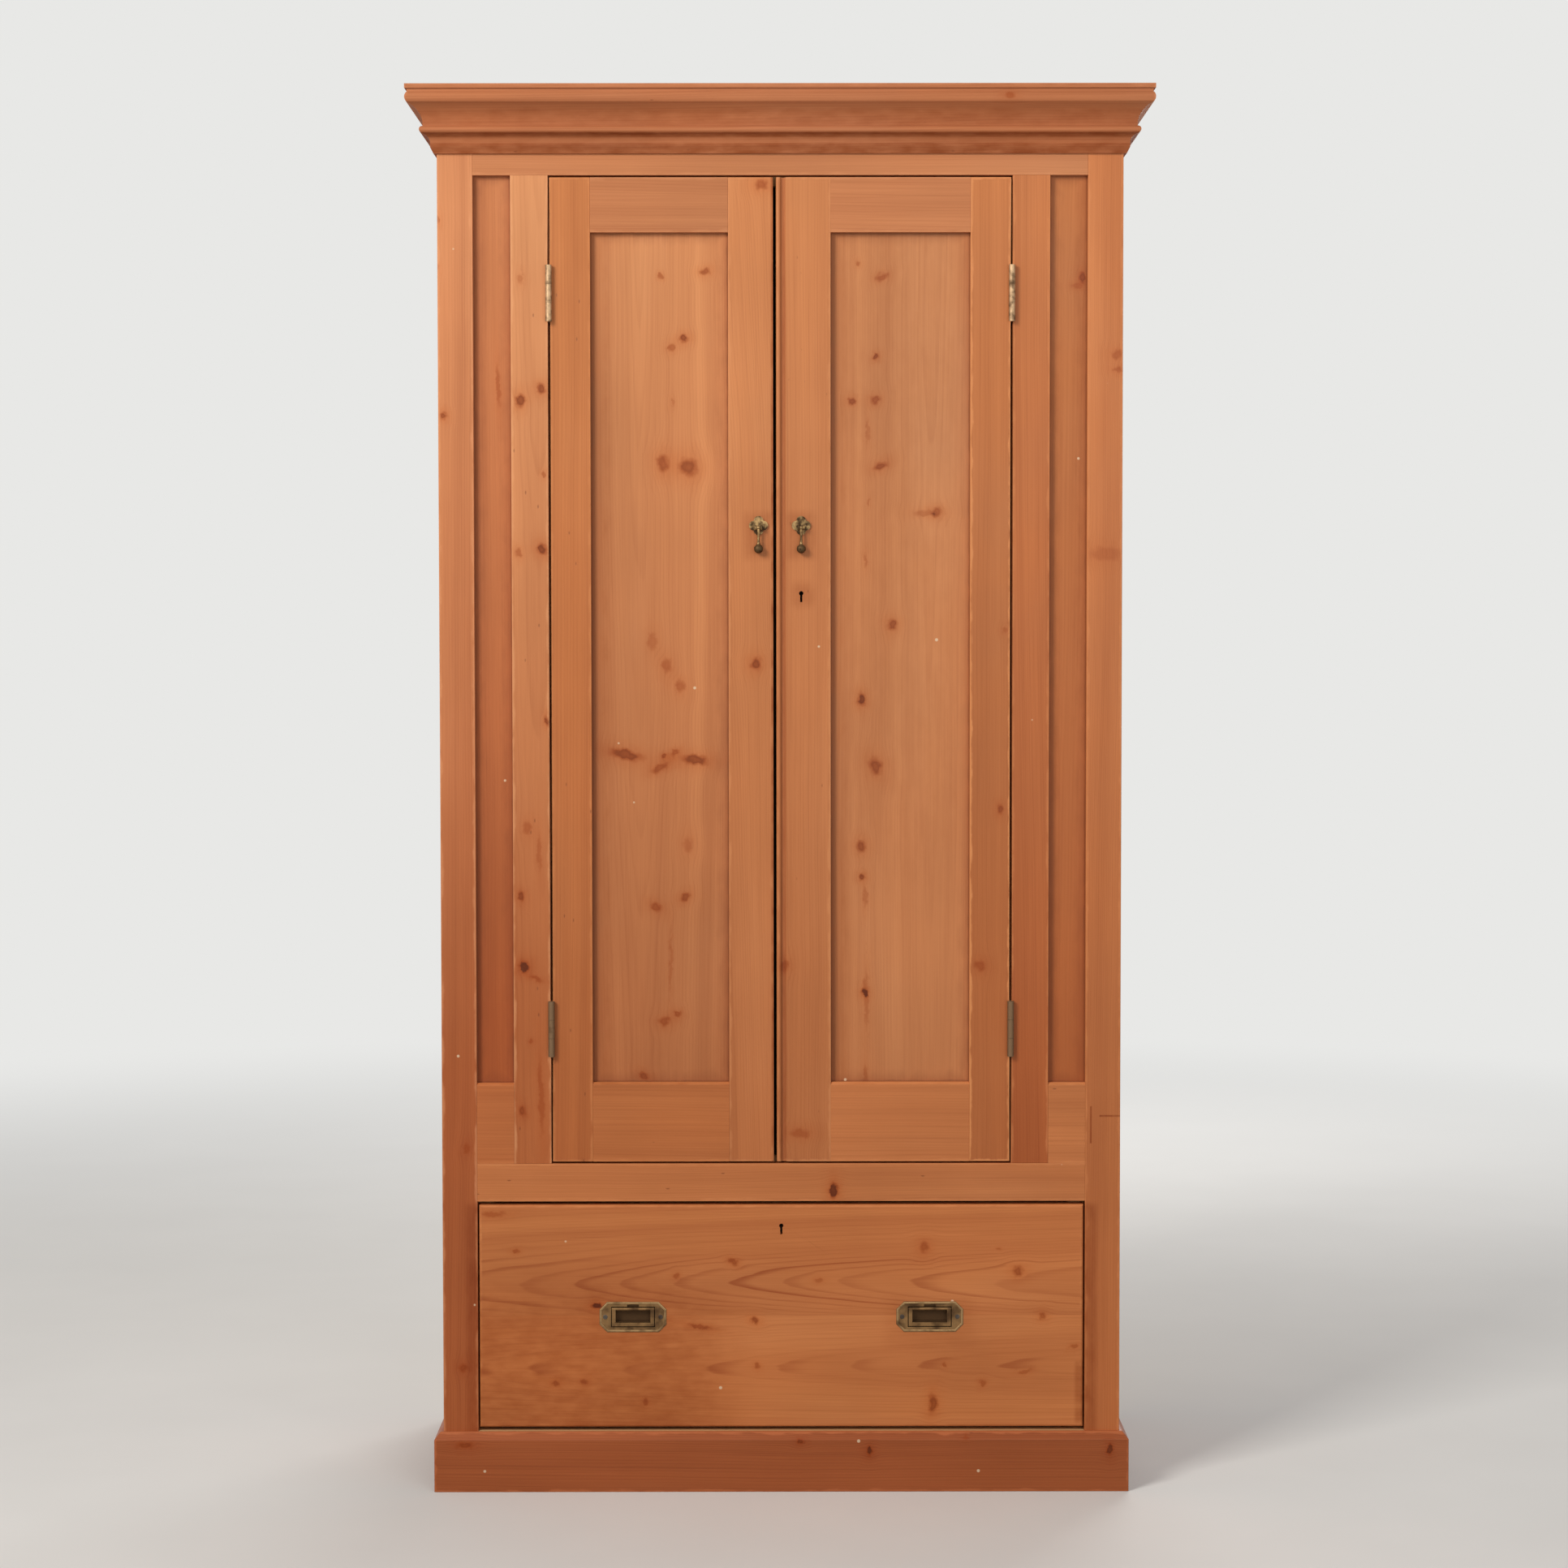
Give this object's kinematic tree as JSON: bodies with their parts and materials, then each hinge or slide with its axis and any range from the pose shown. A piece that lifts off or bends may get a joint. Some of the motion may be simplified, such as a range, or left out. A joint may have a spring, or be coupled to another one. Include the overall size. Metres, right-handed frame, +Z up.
{
  "type": "wardrobe",
  "caption": "Pine wardrobe: moulded cornice, panelled doors on butt hinges over a deep drawer with flush handles, on a plinth; hanging space inside.",
  "frame": {"origin": "on the floor under the middle of the overall box", "axes": "+Z up, +X to the right seen from the front, the doors face -Y"},
  "size_m": [1.008, 0.469, 1.915],
  "materials": {
    "waxed_pine": "stripped and waxed, low sheen",
    "bare_pine": "bare planed boards",
    "aged_brass": "dull aged brass",
    "iron": "dark worn iron"
  },
  "bodies": {
    "carcase": {"back_boards": "bare_pine", "bottom_rail": "bare_pine", "cornice_front": "waxed_pine", "cornice_left_return": "waxed_pine", "cornice_right_return": "waxed_pine", "cupboard_floor": "bare_pine", "door_stops": "bare_pine", "drawer_kickers": "bare_pine", "drawer_runners": "bare_pine", "hanging_rail": "bare_pine", "hinge_frame_leaves": "aged_brass", "left_hinge_stile": "waxed_pine", "left_narrow_panel": "waxed_pine", "left_outer_stile": "waxed_pine", "left_short_rail": "waxed_pine", "left_side": "waxed_pine", "middle_rail": "waxed_pine", "plinth_front": "waxed_pine", "plinth_left_return": "waxed_pine", "plinth_right_return": "waxed_pine", "rail_sockets": "bare_pine", "right_hinge_stile": "waxed_pine", "right_narrow_panel": "waxed_pine", "right_outer_stile": "waxed_pine", "right_short_rail": "waxed_pine", "right_side": "waxed_pine", "top_board": "bare_pine", "top_rail": "waxed_pine"},
    "left_door": {"left_door_hinge_stile": "waxed_pine", "left_door_meeting_stile": "waxed_pine", "left_door_top_rail": "waxed_pine", "left_door_bottom_rail": "waxed_pine", "left_door_panel": "waxed_pine", "left_door_hinge_leaves": "aged_brass", "left_pull_plate": "aged_brass", "left_door_bolt_plate": "iron"},
    "right_door": {"right_door_hinge_stile": "waxed_pine", "right_door_meeting_stile": "waxed_pine", "right_door_top_rail": "waxed_pine", "right_door_bottom_rail": "waxed_pine", "right_door_panel": "waxed_pine", "right_door_hinge_leaves": "aged_brass", "right_pull_plate": "aged_brass", "door_lock_case": "iron"},
    "drawer": {"drawer_front": "waxed_pine", "drawer_left_side": "bare_pine", "drawer_right_side": "bare_pine", "drawer_back": "bare_pine", "drawer_bottom": "bare_pine", "left_flush_plate": "aged_brass", "right_flush_plate": "aged_brass", "drawer_lock_case": "iron"},
    "left_pull_drop": {"left_pull_drop": "aged_brass"},
    "right_pull_drop": {"right_pull_drop": "aged_brass"},
    "left_bail": {"left_bail": "aged_brass"},
    "right_bail": {"right_bail": "aged_brass"},
    "left_door_bolt": {"left_door_bolt": "iron"},
    "door_lock_bolt": {"door_lock_bolt": "iron"},
    "drawer_lock_bolt": {"drawer_lock_bolt": "iron"}
  },
  "joints": [
    {"name": "left_door_swing", "type": "hinge", "parent": "carcase", "child": "left_door", "pos_m": [-0.314, -0.2003, 1.1], "axis": [0, 0, -1], "range_deg": [0, 170]},
    {"name": "right_door_swing", "type": "hinge", "parent": "carcase", "child": "right_door", "pos_m": [0.314, -0.2003, 1.1], "axis": [0, 0, 1], "range_deg": [0, 170]},
    {"name": "drawer_slide", "type": "slide", "parent": "carcase", "child": "drawer", "axis": [0, -1, 0], "range_m": [0, 0.33]},
    {"name": "left_pull_swing", "type": "hinge", "parent": "left_door", "child": "left_pull_drop", "pos_m": [-0.03, -0.203, 1.322], "axis": [-1, 0, 0], "range_deg": [0, 100]},
    {"name": "right_pull_swing", "type": "hinge", "parent": "right_door", "child": "right_pull_drop", "pos_m": [0.028, -0.203, 1.322], "axis": [-1, 0, 0], "range_deg": [0, 100]},
    {"name": "left_bail_swing", "type": "hinge", "parent": "drawer", "child": "left_bail", "pos_m": [-0.204, -0.1934, 0.2507], "axis": [-1, 0, 0], "range_deg": [0, 95]},
    {"name": "right_bail_swing", "type": "hinge", "parent": "drawer", "child": "right_bail", "pos_m": [0.204, -0.1934, 0.2507], "axis": [-1, 0, 0], "range_deg": [0, 95]},
    {"name": "left_door_bolt_slide", "type": "slide", "parent": "left_door", "child": "left_door_bolt", "axis": [0, 0, 1], "range_m": [0, 0.032]},
    {"name": "door_lock_throw", "type": "slide", "parent": "right_door", "child": "door_lock_bolt", "axis": [-1, 0, 0], "range_m": [0, 0.012]},
    {"name": "drawer_lock_throw", "type": "slide", "parent": "drawer", "child": "drawer_lock_bolt", "axis": [0, 0, 1], "range_m": [0, 0.012]}
  ]
}
